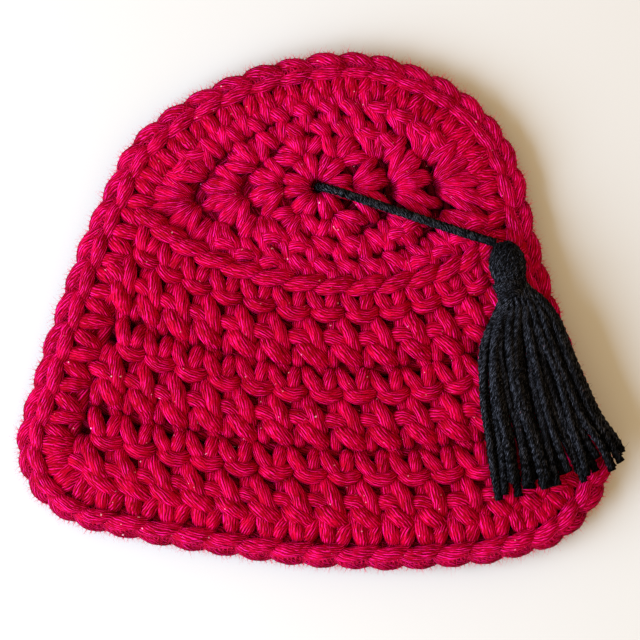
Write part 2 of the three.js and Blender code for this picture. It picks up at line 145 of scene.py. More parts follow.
# %% The bevel's outline
def ply_outline(name, lobes, depth):
    """A round outline of radius 1, with a lobe for each ply and grooves that are depth deep between the lobes."""
    curve = bpy.data.curves.new(name, "CURVE")
    curve.dimensions = "2D"
    spline = curve.splines.new("POLY")
    corners = lobes * 2
    spline.points.add(corners - 1)
    for k in range(corners):
        turn = 2 * math.pi * k / corners
        radius = 1.0 if k % 2 == 0 else 1.0 - depth
        spline.points[k].co = (math.cos(turn) * radius, math.sin(turn) * radius, 0, 1)
    spline.use_cyclic_u = True
    outline = bpy.data.objects.new(name, curve)
    bpy.context.scene.collection.objects.link(outline)
    return outline


RED_OUTLINE = ply_outline("red_ply_outline", 10, 0.09)
BLACK_OUTLINE = ply_outline("black_ply_outline", 4, 0.16)
bpy.context.view_layer.update()
print("Corners of the outlines:", [len(helper.data.splines[0].points) for helper in (RED_OUTLINE, BLACK_OUTLINE)])
chance = random.Random(7)  # the one source of chance, so every run lays the same yarn


# %% A curve to a piece
def piece_from(name, curve, material):
    """The mesh of a bevelled curve, as a piece at the origin."""
    laid = bpy.data.objects.new(name + "_line", curve)
    bpy.context.scene.collection.objects.link(laid)
    bpy.context.view_layer.update()
    graph = bpy.context.evaluated_depsgraph_get()
    mesh = bpy.data.meshes.new_from_object(laid.evaluated_get(graph))
    mesh.name = name
    bpy.data.objects.remove(laid)
    mesh.materials.clear()
    mesh.materials.append(material)
    piece = bpy.data.objects.new(name, mesh)
    bpy.context.scene.collection.objects.link(piece)
    print(name, "strands:", len(curve.splines), "triangles:", sum(len(face.vertices) - 2 for face in mesh.polygons))
    return piece


# %% Strands to a mesh
PLUMP = (0.94, 1.06)  # no two strands are equally thick
BULGE, BULGE_SHAPE = 1.25, 0.7  # how much thicker a soft strand is in its middle, and how soon it gets so


def yarn_piece(name, strands, radius, outline, turn_length, material, ends=1.0):
    """Lay strands as bevelled curves and make them one mesh.

    A strand is a line of points, or a line and how fat it is at its start and its end. In turn_length the plies wind
    round once, and ends is how thick a strand's ends are.
    """
    curve = bpy.data.curves.new(name, "CURVE")
    curve.dimensions = "3D"
    curve.twist_mode = "MINIMUM"
    curve.bevel_mode = "OBJECT"
    curve.bevel_object = outline
    curve.use_fill_caps = True
    for strand in strands:
        strand, share = strand if isinstance(strand, tuple) else (strand, (1.0, 1.0))
        spline = curve.splines.new("POLY")
        spline.points.add(len(strand) - 1)
        start = chance.uniform(0, 2 * math.pi)
        plump = chance.uniform(*PLUMP)
        steps = np.linalg.norm(np.diff(strand, axis=0), axis=1)
        travelled = np.concatenate([[0], np.cumsum(steps)])
        arch = np.clip(np.sin(np.pi * travelled / travelled[-1]), 0, 1)
        swell = ends + (1 - ends) * BULGE * arch**BULGE_SHAPE
        swell = swell * np.linspace(share[0], share[1], len(strand))
        for point, place, along, fat in zip(spline.points, strand, travelled, swell):
            point.co = (*(place * MM), 1)
            point.radius = radius * plump * fat * MM
            point.tilt = start + 2 * math.pi * along / turn_length
    piece = piece_from(name, curve, material)
    piece.data.shade_smooth()
    return piece


# %% [markdown]
# ## Materials
# The yarn is cotton, dyed, spun and plied. Many fine threads lie side by side round it, and the eye sees them as short
# lines that follow each strand. A picture of yarn could be laid over the strands, but a pattern in their own UV map
# needs none: across the map runs the length of a strand, and up it runs the way round. A sine wave round the strand
# draws the threads, and noise bends them and breaks them up, because a hand-spun look has no ruled lines.

# %% Colours and nodes
def linear(code):
    """The linear values of an sRGB hex colour."""
    values = [int(code[i : i + 2], 16) / 255 for i in (0, 2, 4)]
    return [v / 12.92 if v <= 0.04045 else ((v + 0.055) / 1.055) ** 2.4 for v in values] + [1.0]


def add_node(tree, kind, settings=None, links=None):
    """A node with its settings, by attribute or socket, and its links, each from a socket of another node."""
    node = tree.nodes.new(kind)
    for key, value in (settings or {}).items():
        if isinstance(key, str) and hasattr(node, key) and key not in node.inputs:
            setattr(node, key, value)
        else:
            node.inputs[key].default_value = value
    for key, source in (links or {}).items():
        tree.links.new(source, node.inputs[key])
    return node


def per_metre(size):
    """The scale of a noise on Object coordinates, for a real size in millimetres, to the nearest ten."""
    return round(1 / (size * MM), -1)


print("Raspberry in linear values:", [round(value, 3) for value in linear("BA002A")[:3]])

# %% The threads round a strand
BEND = 2.4  # the length in which a thread wavers once, in millimetres
BENDING = 14.0  # how far it wavers, on a wave of 2 pi
BREAKING = 6.5  # how much its colour breaks up along its length, on a wave of 1
FINER = 2.2  # the breaks are this much narrower than a thread


def threads_round(radius, gap):
    """How many threads lie side by side round a strand, for a real gap from one to the next."""
    return round(2 * math.pi * radius / gap)


def thread_pattern(tree, place, yarn, threads, pieces):
    """Threads side by side round the strand, each broken up into pieces. Grooves are low and threads are high."""
    waver = add_node(
        tree, "ShaderNodeTexNoise", {"Scale": per_metre(BEND), "Detail": 2.0}, {"Vector": place.outputs["Object"]}
    )
    turns = add_node(
        tree, "ShaderNodeMath", {"operation": "MULTIPLY", 1: 2 * math.pi * threads}, {0: yarn.outputs["Y"]}
    )
    bent = add_node(
        tree, "ShaderNodeMath", {"operation": "MULTIPLY_ADD", 1: BENDING},
        {0: waver.outputs["Fac"], 2: turns.outputs[0]},
    )
    wave = add_node(tree, "ShaderNodeMath", {"operation": "SINE"}, {0: bent.outputs[0]})
    stretched = add_node(
        tree, "ShaderNodeMapping", {"Scale": (pieces, threads * FINER, 1.0)}, {"Vector": place.outputs["UV"]}
    )
    streaks = add_node(
        tree, "ShaderNodeTexNoise", {"Scale": 1.0, "Detail": 2.0}, {"Vector": stretched.outputs["Vector"]}
    )
    return add_node(
        tree, "ShaderNodeMath", {"operation": "MULTIPLY_ADD", 1: BREAKING},
        {0: streaks.outputs["Fac"], 2: wave.outputs[0]},
    )


print("Scale of the bends:", per_metre(BEND))

# %% The dye's tone, and the painted shade between the strands
BLOTCH = 3.8  # how wide the patches are in which the dye took deeper or paler, in millimetres
DYE_STEPS = (0.35, 0.65)  # where the noise is in the deeper and in the paler tone
SHADED_END_SHARE = 0.14  # the share of a strand at each end that is painted darker, as its neighbours' shade
# How much colour is left at a strand's very end, under the painted shade.
SHADED_END_LIGHT = 0.3
DEEP_FROM, DEEP_TO = 0.4, 2.4  # heights over or under the fabric's middle between which the painted shade fades out


def dye_tone(tree, place, middle, light):
    """Patches of two tones, as hand-dyed cotton has."""
    blotches = add_node(
        tree, "ShaderNodeTexNoise", {"Scale": per_metre(BLOTCH), "Detail": 3.0}, {"Vector": place.outputs["Object"]}
    )
    tone = add_node(tree, "ShaderNodeValToRGB", {}, {"Fac": blotches.outputs["Fac"]})
    for element, position, code in zip(tone.color_ramp.elements, DYE_STEPS, (middle, light)):
        element.position = position
        element.color = linear(code)
    return tone


def painted_shade_between(tree, place, yarn, deep):
    """Painted shade, as the colour left: less at a strand's diving ends, and deep near the fabric's middle."""
    start = add_node(
        tree, "ShaderNodeMapRange", {"From Min": 0.0, "From Max": SHADED_END_SHARE, "To Min": SHADED_END_LIGHT},
        {"Value": yarn.outputs["X"]},
    )
    end = add_node(
        tree, "ShaderNodeMapRange", {"From Min": 1.0, "From Max": 1.0 - SHADED_END_SHARE, "To Min": SHADED_END_LIGHT},
        {"Value": yarn.outputs["X"]},
    )
    # Painted shade at both ends of the strand.
    squeezed = add_node(tree, "ShaderNodeMath", {"operation": "MULTIPLY"}, {0: start.outputs[0], 1: end.outputs[0]})
    height = add_node(tree, "ShaderNodeSeparateXYZ", {}, {0: place.outputs["Object"]})
    off_middle = add_node(
        tree, "ShaderNodeMath", {"operation": "SUBTRACT", 1: FABRIC_MIDDLE * MM}, {0: height.outputs["Z"]}
    )
    distance = add_node(tree, "ShaderNodeMath", {"operation": "ABSOLUTE"}, {0: off_middle.outputs[0]})
    inside = add_node(
        tree, "ShaderNodeMapRange", {"From Min": DEEP_FROM * MM, "From Max": DEEP_TO * MM, "To Min": deep},
        {"Value": distance.outputs[0]},
    )
    return add_node(tree, "ShaderNodeMath", {"operation": "MULTIPLY"}, {0: squeezed.outputs[0], 1: inside.outputs[0]})


print("Patches of dye in the hat's width:", round(WIDTH / BLOTCH))

# %% Painted glints and relief
FIBRE_GLINT_GAP = 0.77  # how far apart the painted glints of loose fibres may be, in millimetres
FIBRE_GLINT_STEPS = (0.84, 0.9)  # only the noise's highest spots get a painted glint
# The colour of the painted glints.
FIBRE_GLINT_COLOUR = "F0B8C8"
FIBRE = 0.333  # real fibres are 0.02 mm thick or less, so they are drawn this coarse to show at all
FIBRE_RELIEF = 0.5  # how high they stand, on threads of 1
GROOVE_DEPTH = 0.25  # in millimetres


def fibre_glints_over(tree, place, colour, glint_paleness):
    """A colour with painted glints of loose fibres on it, as pale specks."""
    fibre_glints = add_node(
        tree, "ShaderNodeTexNoise", {"Scale": per_metre(FIBRE_GLINT_GAP), "Detail": 0.0}, {"Vector": place.outputs["Object"]}
    )
    specks = add_node(
        tree, "ShaderNodeMapRange", {"From Min": FIBRE_GLINT_STEPS[0], "From Max": FIBRE_GLINT_STEPS[1], "To Max": glint_paleness},
        {"Value": fibre_glints.outputs["Fac"]},
    )
    return add_node(
        tree, "ShaderNodeMix", {"data_type": "RGBA", 7: linear(FIBRE_GLINT_COLOUR)},
        {0: specks.outputs[0], 6: colour.outputs[2]},
    )


def thread_relief(tree, place, thread, groove):
    """The threads' bump, with the finer fibres on it."""
    fibres = add_node(
        tree, "ShaderNodeTexNoise", {"Scale": per_metre(FIBRE), "Detail": 2.0}, {"Vector": place.outputs["Object"]}
    )
    relief = add_node(
        tree, "ShaderNodeMath", {"operation": "MULTIPLY_ADD", 1: FIBRE_RELIEF},
        {0: fibres.outputs["Fac"], 2: thread.outputs[0]},
    )
    return add_node(
        tree, "ShaderNodeBump", {"Strength": groove, "Distance": GROOVE_DEPTH * MM}, {"Height": relief.outputs[0]}
    )


print("Scales of the lint and the fibres:", per_metre(FIBRE_GLINT_GAP), per_metre(FIBRE))

# %% Cotton yarn
GROOVE_STEPS = (1.2, 3.5)  # the thread pattern's values from a groove's bottom to a thread's side
TOP_STEPS = (3.9, 5.1)  # and from its side to its top, where the painted highlight is
SHADE = 0.25  # the colour of the painted shade between the strands, as a share of the grooves' colour


def cotton(name, dark, middle, light, painted_highlight, threads, pieces, groove, sheen, sheen_colour, deep, glint_paleness):
    """Plied cotton: painted shade in the grooves, two tones of dye, and painted highlights on the threads' tops.

    threads lie side by side round a strand, and each breaks up into pieces along it. groove is how strong their
    relief is, deep is how much colour the painted shade leaves near the fabric's middle, and glint_paleness is how
    pale the painted glints are.
    """
    material = bpy.data.materials.new(name)
    material.use_nodes = True
    tree = material.node_tree
    tree.nodes.clear()
    place = add_node(tree, "ShaderNodeTexCoord")
    yarn = add_node(tree, "ShaderNodeSeparateXYZ", {}, {0: place.outputs["UV"]})
    mixed = thread_pattern(tree, place, yarn, threads, pieces)
    thread = add_node(
        tree, "ShaderNodeMapRange", {"From Min": GROOVE_STEPS[0], "From Max": GROOVE_STEPS[1]},
        {"Value": mixed.outputs[0]},
    )
    tone = dye_tone(tree, place, middle, light)
    # Painted shade in the grooves between the threads: the dark colour there, the dye's tone on the threads.
    grooves = add_node(
        tree, "ShaderNodeMix", {"data_type": "RGBA", 6: linear(dark)}, {0: thread.outputs[0], 7: tone.outputs["Color"]}
    )
    # A painted highlight on each thread's top.
    top = add_node(
        tree, "ShaderNodeMapRange", {"From Min": TOP_STEPS[0], "From Max": TOP_STEPS[1]}, {"Value": mixed.outputs[0]}
    )
    highlighted = add_node(
        tree, "ShaderNodeMix", {"data_type": "RGBA", 7: linear(painted_highlight)}, {0: top.outputs[0], 6: grooves.outputs[2]}
    )
    # Painted shade at the strands' ends and near the fabric's middle, where the neighbours' shade falls.
    painted_shade_share = painted_shade_between(tree, place, yarn, deep)
    shade = [value * SHADE for value in linear(dark)[:3]] + [1.0]
    colour = add_node(tree, "ShaderNodeMix", {"data_type": "RGBA", 6: shade}, {0: painted_shade_share.outputs[0], 7: highlighted.outputs[2]})
    # Pale specks on top: painted glints of loose fibres.
    speckled = fibre_glints_over(tree, place, colour, glint_paleness)
    bump = thread_relief(tree, place, thread, groove)
    shader = add_node(
        tree, "ShaderNodeBsdfPrincipled",
        {"Roughness": 0.65, "Specular IOR Level": 0.02, "Sheen Weight": sheen, "Sheen Roughness": 0.4},
        {"Base Color": speckled.outputs[2], "Normal": bump.outputs["Normal"]},
    )
    shader.inputs["Sheen Tint"].default_value = linear(sheen_colour)
    add_node(tree, "ShaderNodeOutputMaterial", {}, {"Surface": shader.outputs["BSDF"]})
    return material


# %% The cottons of the hat
YARN_GAP, CORD_GAP = 0.56, 0.42  # real threads lie some 0.3 mm apart, too fine to show, so they are drawn coarser
CORD_RADIUS = 0.95
# Each thread breaks up every 2.3 mm of the 14 mm that a strand of a stitch is long.
RASPBERRY = {
    "threads": threads_round(YARN_RADIUS, YARN_GAP), "pieces": round(14 / 2.3), "groove": 0.6,
    "sheen": 0.03, "sheen_colour": "FF0A78", "glint_paleness": 0.7,
}
# Dyed and spun cotton: matt, short painted pink highlights along each strand, painted deep red shade in the grooves.
raspberry_cotton = cotton("raspberry_cotton_yarn", "500004", "8E0012", "BA002A", "F01084", deep=0.22, **RASPBERRY)
# The same cotton in the crown, painted a little lighter and pinker because more of the window's light falls there.
crown_cotton_painted_lighter = cotton("raspberry_cotton_crown_painted_lighter", "520004", "980018", "CA0038", "F8189A", deep=0.22, **RASPBERRY)
# The same cotton over the rim, painted lighter and with less painted shade inside, for the light from the side.
rim_cotton_painted_lighter = cotton("raspberry_cotton_rim_painted_lighter", "500006", "8E0016", "BE0036", "F81894", deep=0.45, **RASPBERRY)
# Black cotton, twisted hard: charcoal, with painted grey highlights on the threads' tops. Each of its threads breaks
# up every 0.83 mm of the 50 mm that a strand of the tassel is long.
black_cotton = cotton(
    "black_cotton_cord", "010101", "040405", "0C0C0F", "565864", threads=threads_round(CORD_RADIUS, CORD_GAP),
    pieces=round(50 / 0.83), groove=0.9, sheen=0.0, sheen_colour="5A5A66", deep=1.0, glint_paleness=0.1,
)
print("Threads round the yarn and the cord:", RASPBERRY["threads"], threads_round(CORD_RADIUS, CORD_GAP))

# %% [markdown]
# ## Cord
# The real cord is a few threads of black cotton, twisted. It leaves the ring in the crown's middle, lies over the
# stitches and ends at the tassel's head. Its plies could be strands of their own, but from here a single strand with
# four lobes and a quick twist looks the same. It follows the route of the solid, and it is made first.

# %% The cord's route and mesh
CORD_DIAMETER = 1.9
CORD_START = 3.4  # height at which it comes out of the ring
CORD_LEVEL = FABRIC_TOP + 0.5 + CORD_DIAMETER / 2
FULLNESS = 1.12  # makes up for the grooves between the plies
PLY_TURN = 5.0
HEAD_WIDTH = 7.8  # of the tassel
HEAD_TIP = 0.3  # how wide its top is, as a share of that
head_top = np.array([0.629 * WIDTH / 2, 0.24 * HEIGHT / 2])
cord_way = (head_top - CROWN_CENTRE) / np.linalg.norm(head_top - CROWN_CENTRE)
cord_end = head_top - cord_way * (HEAD_TIP * HEAD_WIDTH / 2 + SEAM)
# Columns: a share of the way along, and of the way up from the ring to the top of the fabric.
CORD_ROUTE = [(0, 0), (0.012, 0.5), (0.05, 0.87), (0.12, 1.0), (0.35, 1.0), (0.6, 1.0), (0.85, 1.06), (1, 1.3)]
cord_points = []
for along, up in CORD_ROUTE:
    spot = CROWN_CENTRE + (cord_end - CROWN_CENTRE) * along
    cord_points.append((spot[0], spot[1], CORD_START + (CORD_LEVEL - CORD_START) * up))
cord_line = smooth_line(cord_points, 0.7)
cord = yarn_piece(
    "tassel_cord_yarn", [cord_line], CORD_DIAMETER / 2 * FULLNESS, BLACK_OUTLINE, PLY_TURN, black_cotton
)
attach(cord, "root")
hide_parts("tassel_cord")

# %% [markdown]
# ## Outline
# The edging follows the hat's outline, and the rows fill what the crown's ridge and the edging leave. Guides could be
# drawn by hand, but these lines are worked out once from the sizes, so that the strands lie where the solids are: the
# outline, the inner side of the edging, the ridge, and a grid over the body with u from left to right and v from the
# ridge down to the lower edging.

# %% The outline and the bed inside the edging
OUTLINE_STEP = 0.4
BED_POINTS = 480
outline = smooth_line([(a * WIDTH / 2, b * HEIGHT / 2) for a, b in OUTLINE], OUTLINE_STEP, closed=True)[:-1]
tangent = np.roll(outline, -1, axis=0) - np.roll(outline, 1, axis=0)
tangent /= np.linalg.norm(tangent, axis=1, keepdims=True)
outward = np.stack([-tangent[:, 1], tangent[:, 0]], axis=1)


def inside_outline(share, depth):
    """A spot at a share of the way round, clockwise from the right corner, and a depth inside the outline."""
    where = (share % 1) * len(outline)
    i = int(where) % len(outline)
    j = (i + 1) % len(outline)
    part = where - int(where)
    spot = outline[i] * (1 - part) + outline[j] * part
    out = outward[i] * (1 - part) + outward[j] * part
    return spot - out * depth


bed = np.array([inside_outline(i / BED_POINTS, EDGING_WIDTH + SEAM) for i in range(BED_POINTS)])


def nearest(spot):
    """The number of the bed's point that is nearest to a spot."""
    return int(np.argmin(np.linalg.norm(bed - spot, axis=1)))


print("Length round the bed, mm:", round(float(np.linalg.norm(np.roll(bed, -1, axis=0) - bed, axis=1).sum()), 1))

# %% The ridge's line
FAR = 110.0  # degrees to either side of the ridge's lowest spot, well outside the bed


def turned(vector, angle):
    c, s = math.cos(angle), math.sin(angle)
    return np.array([vector[0] * c - vector[1] * s, vector[0] * s + vector[1] * c])


def ridge_spot(degrees, outwards=0.0):
    """A spot on the ridge's oval, at an angle from its right end, or a little outside it."""
    turn = math.radians(degrees)
    spot = np.array([math.cos(turn) * RIDGE_REACH, math.sin(turn) * RIDGE_DROP])
    out = np.array([math.cos(turn) / RIDGE_REACH, math.sin(turn) / RIDGE_DROP])
    spot = spot + out / np.linalg.norm(out) * outwards
    return turned(spot, CROWN_TILT) + CROWN_CENTRE


def inside_bed(spot):
    """Whether a spot lies inside the bed: a line to its right crosses the bed an odd number of times."""
    a, b = bed, np.roll(bed, -1, axis=0)
    crosses = (a[:, 1] > spot[1]) != (b[:, 1] > spot[1])
    rise = np.where(crosses, b[:, 1] - a[:, 1], 1)
    at = a[:, 0] + (b[:, 0] - a[:, 0]) * (spot[1] - a[:, 1]) / rise
    return bool(np.sum(crosses & (spot[0] < at)) % 2)


def ridge_end(outwards, way):
    """The angle at which the ridge leaves the bed, to the left or the right, found by halving."""
    near, far = 0.0, FAR
    for _ in range(30):
        middle = (near + far) / 2
        if inside_bed(ridge_spot(270 + way * middle, outwards)):
            near = middle
        else:
            far = middle
    return 270 + way * near


print("The ridge's ends, degrees:", round(ridge_end(0, -1), 1), round(ridge_end(0, 1), 1))

# %% The body between the ridge and the edging
TOP_OFFSET = RIDGE_WIDTH / 2 + SEAM
top_ends = ridge_end(TOP_OFFSET, -1), ridge_end(TOP_OFFSET, 1)
corner_left = nearest(np.array([-0.81 * WIDTH / 2, -0.68 * HEIGHT / 2]))
corner_right = nearest(np.array([0.82 * WIDTH / 2, -0.7 * HEIGHT / 2]))


def bed_line(start, end):
    """The bed's line from one of its points to another, the short way, as a function of a share of its length."""
    step = 1 if (end - start) % BED_POINTS <= BED_POINTS / 2 else -1
    walk = [start]
    while walk[-1] != end:
        walk.append((walk[-1] + step) % BED_POINTS)
    points = bed[walk]
    lengths = np.concatenate([[0], np.cumsum(np.linalg.norm(np.diff(points, axis=0), axis=1))])

    def at(share):
        return np.array([np.interp(share * lengths[-1], lengths, points[:, k]) for k in (0, 1)])

    return at


def top_line(u):
    return ridge_spot(top_ends[0] + (top_ends[1] - top_ends[0]) * u, TOP_OFFSET)


left_line = bed_line(nearest(top_line(0)), corner_left)
right_line = bed_line(nearest(top_line(1)), corner_right)
bottom_line = bed_line(corner_left, corner_right)


def body_inner(u, v):
    """A spot between the four lines, which blends them."""
    spot = top_line(u) * (1 - v) + bottom_line(u) * v + left_line(v) * (1 - u) + right_line(v) * u
    spot = spot - top_line(0) * (1 - u) * (1 - v) - top_line(1) * u * (1 - v)
    return spot - bottom_line(0) * (1 - u) * v - bottom_line(1) * u * v


EDGE = 0.03  # how far inside the edge the slope is measured


def body_spot(u, v):
    """A spot of the body, with straight continuation past its edges."""
    cu, cv = min(max(u, 0), 1), min(max(v, 0), 1)
    spot = body_inner(cu, cv)
    if u != cu:
        side = EDGE if u < 0 else -EDGE
        spot = spot + (body_inner(cu + side, cv) - body_inner(cu, cv)) / side * (u - cu)
    if v != cv:
        side = EDGE if v < 0 else -EDGE
        spot = spot + (body_inner(cu, cv + side) - body_inner(cu, cv)) / side * (v - cv)
    return spot


print("The body's middle, mm:", body_spot(0.5, 0.5).round(1))

# %% [markdown]
# ## The rows' stitch
# Each row is one line of stitches, worked to and fro, so the rows show the front and the back of the stitch in turn.
# On the front one sees a slanting strand, a cuff that wraps it and a plump blob below. The back shows a V, a knob in
# it and a lens-shaped loop below. A height picture would look flat from the side, so each strand is a real strand
# here: its points are a short table of one stitch, and the table is laid again for every stitch. First the stitch's
# strands are pushed apart where they cross, among copies of themselves, as yarn that is pulled tight finds its place.

# %% The strands of one half-treble stitch
# Columns: across, down and up, in millimetres.
ROW_STITCH = {
    "slant": [
        (-1.3, 0.8, -0.6), (-1.8, 2.0, 1.6), (-2.5, 3.6, 3.4), (-3.6, 5.7, 4.0), (-4.7, 7.6, 3.0), (-5.3, 8.8, 0.8),
    ],
    "post": [(-0.2, 0.6, -0.4), (-0.3, 2.0, 1.6), (-0.4, 3.8, 2.2), (-0.4, 5.4, 1.4), (-0.4, 6.4, 0.0)],
    "cuff": [(2.0, 7.0, 0.4), (1.4, 6.1, 2.6), (-0.3, 5.7, 3.7), (-2.0, 6.0, 3.4), (-3.4, 7.0, 2.0), (-4.0, 7.8, 0.4)],
    "blob": [(-0.5, 7.1, 1.6), (-1.7, 8.0, 3.2), (-3.1, 9.2, 3.6), (-4.5, 10.4, 2.6), (-5.4, 11.4, 0.6)],
    "foot": [(0.0, 7.2, -0.2), (-0.2, 8.6, 2.0), (-0.4, 10.0, 2.4), (-0.7, 11.3, 1.2), (-1.0, 12.2, -0.8)],
    "tail": [(-3.6, 10.6, 0.2), (-4.6, 11.7, 1.2), (-5.6, 12.8, 1.0), (-6.4, 13.9, -0.4)],
    "arm": [(1.0, 3.6, 0.2), (1.7, 4.6, -1.8), (2.7, 6.1, -3.1), (3.9, 7.7, -3.1), (4.8, 8.8, -1.6), (5.3, 9.4, 0.0)],
    "lens": [(2.8, 7.5, 0.2), (3.8, 8.7, -2.2), (5.8, 9.6, -3.4), (7.7, 8.9, -2.6), (9.0, 7.4, -0.2)],
    "knob": [(6.6, 3.8, 0.2), (6.6, 4.9, -2.0), (6.5, 6.4, -3.2), (6.4, 7.9, -2.6), (6.4, 9.0, -0.4)],
    "chain": [(3.4, 11.4, 0.0), (1.0, 11.6, 0.0), (-1.5, 11.7, 0.0), (-3.8, 11.4, 0.0)],
}
# How thick each strand looks: one that lies on top swells, one that is pulled tight between others is thin.
SWELL = {
    "slant": 1.04, "post": 0.9, "cuff": 1.0, "blob": 1.18, "foot": 0.86, "tail": 0.86,
    "arm": 0.94, "lens": 1.0, "knob": 0.94, "chain": 0.9,
}
STEP = 0.75
print("Points in the stitch's table:", sum(len(line) for line in ROW_STITCH.values()))

# %% Let the stitch settle among its neighbours
YIELD = 0.8  # the share of a push that a strand gives way to
STIFFNESS = 0.35  # how much a strand smooths its bends
MEMORY = 0.16  # how much it goes back to where it was laid


def settle(strands, copies, gap, rounds, flat):
    """Push strands apart where they lie closer than gap, among copies of themselves, keeping their shape."""
    start = [strand.copy() for strand in strands]
    now = [strand.copy() for strand in strands]
    owner = np.concatenate([[k] * len(strand) for k, strand in enumerate(strands)])
    for _ in range(rounds):
        points = np.vstack(now)
        others = np.vstack([make(points) for make in copies])
        owners = np.concatenate([owner] + [owner * 0 - 1] * (len(copies) - 1))
        apart = points[:, None] - others[None]
        distance = np.linalg.norm(apart, axis=2)
        close = (distance < gap) & (owners[None] != owner[:, None]) & (distance > 1e-9)
        amount = np.where(close, (gap - distance) * 0.5, 0) / np.maximum(distance, 1e-6)
        push = (apart * amount[..., None]).sum(1) / np.maximum(close.sum(1), 1)[:, None]
        points = points + push * YIELD
        first = 0
        for k, base in enumerate(start):
            strand = points[first : first + len(base)]
            first += len(base)
            bend = np.zeros_like(strand)
            bend[1:-1] = (strand[:-2] + strand[2:]) / 2 - strand[1:-1]
            bend[1:-1] -= (base[:-2] + base[2:]) / 2 - base[1:-1]
            strand = strand + STIFFNESS * bend + MEMORY * (base - strand)
            strand[:, 2] = (np.clip(strand[:, 2], -flat, flat) + strand[:, 2]) / 2
            now[k] = strand
    return now


def row_copies():
    """Each makes a copy of the stitch's points: in its own row and the rows next but one, and turned in the others."""
    makes = [lambda p: p]
    for i in (-2, -1, 0, 1, 2):
        for j in (-1, 0, 1):
            if (i, j) != (0, 0):
                makes.append(lambda p, i=i, j=j: p + [i * PITCH, 2 * j * ROW_HEIGHT, 0])
        for j in (-3, -1, 1):
            makes.append(lambda p, i=i, j=j: p * [-1, 1, -1] + [i * PITCH, j * ROW_HEIGHT, 0])
    return makes


row_strands = [smooth_line(line, STEP) for line in ROW_STITCH.values()]
row_strands = settle(row_strands, row_copies(), gap=2.1, rounds=12, flat=3.9)
row_lines = dict(zip(ROW_STITCH, row_strands))
yarn_used = sum(float(np.linalg.norm(np.diff(line, axis=0), axis=1).sum()) for line in row_strands)
print("Yarn in one stitch, mm:", round(yarn_used, 1))

# %% [markdown]
# ## Rows
# Crochet rows are worked to and fro, and each one hangs in the one above. The stitch could be repeated along a
# straight line and bent, but the body has a curved top and slanting sides. So each point of the stitch goes to the
# body's own u and v, with a little chance from stitch to stitch. Between the front and the back, plain strands close
# the fabric, as the yarn inside it does. They leave open the small holes through which the table shows.

# %% Lay a strand, and close the fabric
FIRST_ORIGIN = -0.128  # where the first row starts, as a share of the way down the body
ORIGIN_STEP = 0.1805
LEFT_SAG = 0.035  # the rows hang a little lower at the upper left
FILLING_STEP = 1.2
OPEN = 2.7  # the filling keeps this far from the places where light comes through


def fabric_height(z):
    """Height above the table of a stitch's own z. Yarn that rests on the table is pressed flat against it."""
    return max(FABRIC_MIDDLE + z * PRESSED, YARN_RADIUS * 1.2)


def lay(strand, count, k, origin, step, back, jitter):
    """One strand of stitch k of a row, from the stitch's own millimetres to its place on the body."""
    way = 1 if back else -1
    laid = []
    for x, y, z in strand:
        u = (k + 0.5 + way * x / PITCH + jitter[0]) / count
        v = origin + (y + jitter[1]) / ROW_HEIGHT * step
        v += LEFT_SAG * (1 - min(max(u, 0), 1)) * (1 - min(max(v, 0), 1))
        spot = body_spot(u, v)
        laid.append((spot[0], spot[1], fabric_height(-z if back else z)))
    return np.array(laid)


# Places where light comes through between the stitches, in millimetres from the hat's middle.
SEE_THROUGH = [(-38.8, 16.5), (-44.5, -3.6), (-44.8, -19.4), (-50.5, -24.3), (34.4, 19.6)]


def filling(points, height):
    """The yarn inside the fabric, which closes it between the stitches, except where light comes through."""
    open_places = [p for p in points if min(math.dist(p, gap) for gap in SEE_THROUGH) > OPEN]
    return smooth_line([(x, y, fabric_height(height)) for x, y in open_places], FILLING_STEP)


print("The fabric's heights at -3, 0 and 3 mm:", [round(fabric_height(z), 2) for z in (-3, 0, 3)])

# %% Lay the rows
# Columns: the row, its stitches, and how far it lies to the right of its even place, in stitches.
ROWS = [
    ("row_1", 13, -0.5), ("row_2", 13, -0.5), ("row_3", 14, 0), ("row_4", 14, 0.05), ("row_5", 15, 0), ("row_6", 15, 0),
]
FRONT = ("slant", "post", "cuff", "blob", "foot", "tail")
UNDER_RIDGE = 4.5  # the front strands of the first row start this far down, because the ridge covers the rest
RED_TURN = 28.0  # the length in which the plies wind round once, in millimetres
for number, (name, count, moved) in enumerate(ROWS):
    back = number % 2 == 0
    origin = FIRST_ORIGIN + number * ORIGIN_STEP
    strands = []
    for k in range(count + (moved < -0.2)):
        jitter = (moved + chance.uniform(-0.03, 0.03), chance.uniform(-0.25, 0.25))
        for part, line in row_lines.items():
            if number == 0 and part in FRONT:
                line = line[line[:, 1] > UNDER_RIDGE]
                if len(line) < 3:
                    continue
            strands.append((lay(line, count, k, origin, ORIGIN_STEP, back, jitter), (SWELL[part], SWELL[part])))
    for down in (0.25, 0.62, 0.95):
        v = origin + (2.0 + ROW_HEIGHT * down) / ROW_HEIGHT * ORIGIN_STEP
        strands.append(filling([body_spot(i / 60, v) for i in range(-1, 62)], 0))
    row = yarn_piece(name + "_yarn", strands, YARN_RADIUS, RED_OUTLINE, RED_TURN, raspberry_cotton, SOFT_ENDS)
    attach(row, "root")
    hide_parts(name)

# %% [markdown]
# ## Crown
# The crown is worked in rounds from a ring. Every hole of a round holds the stitches of the next, and their legs open
# from it like petals. At the two ends of the oval, four stitches share a hole. The same strands could be copied along
# circles, but the rounds are ovals, so each stitch is laid between its hole and its top on the next round's edge. The
# rounds' edges are found first: shares of the way from the ring to the crown's own edge.

# %% Rays from the crown's middle
RING_RADIUS = 6.8
REACH_OUT = 0.8  # how far the crown reaches under the edging
REACH_RIDGE = 1.0  # and under the ridge
crown_squash = RIDGE_DROP / RIDGE_REACH
ridge_inner = np.array([ridge_spot(i * 3, -RIDGE_WIDTH / 2 - SEAM) for i in range(120)])


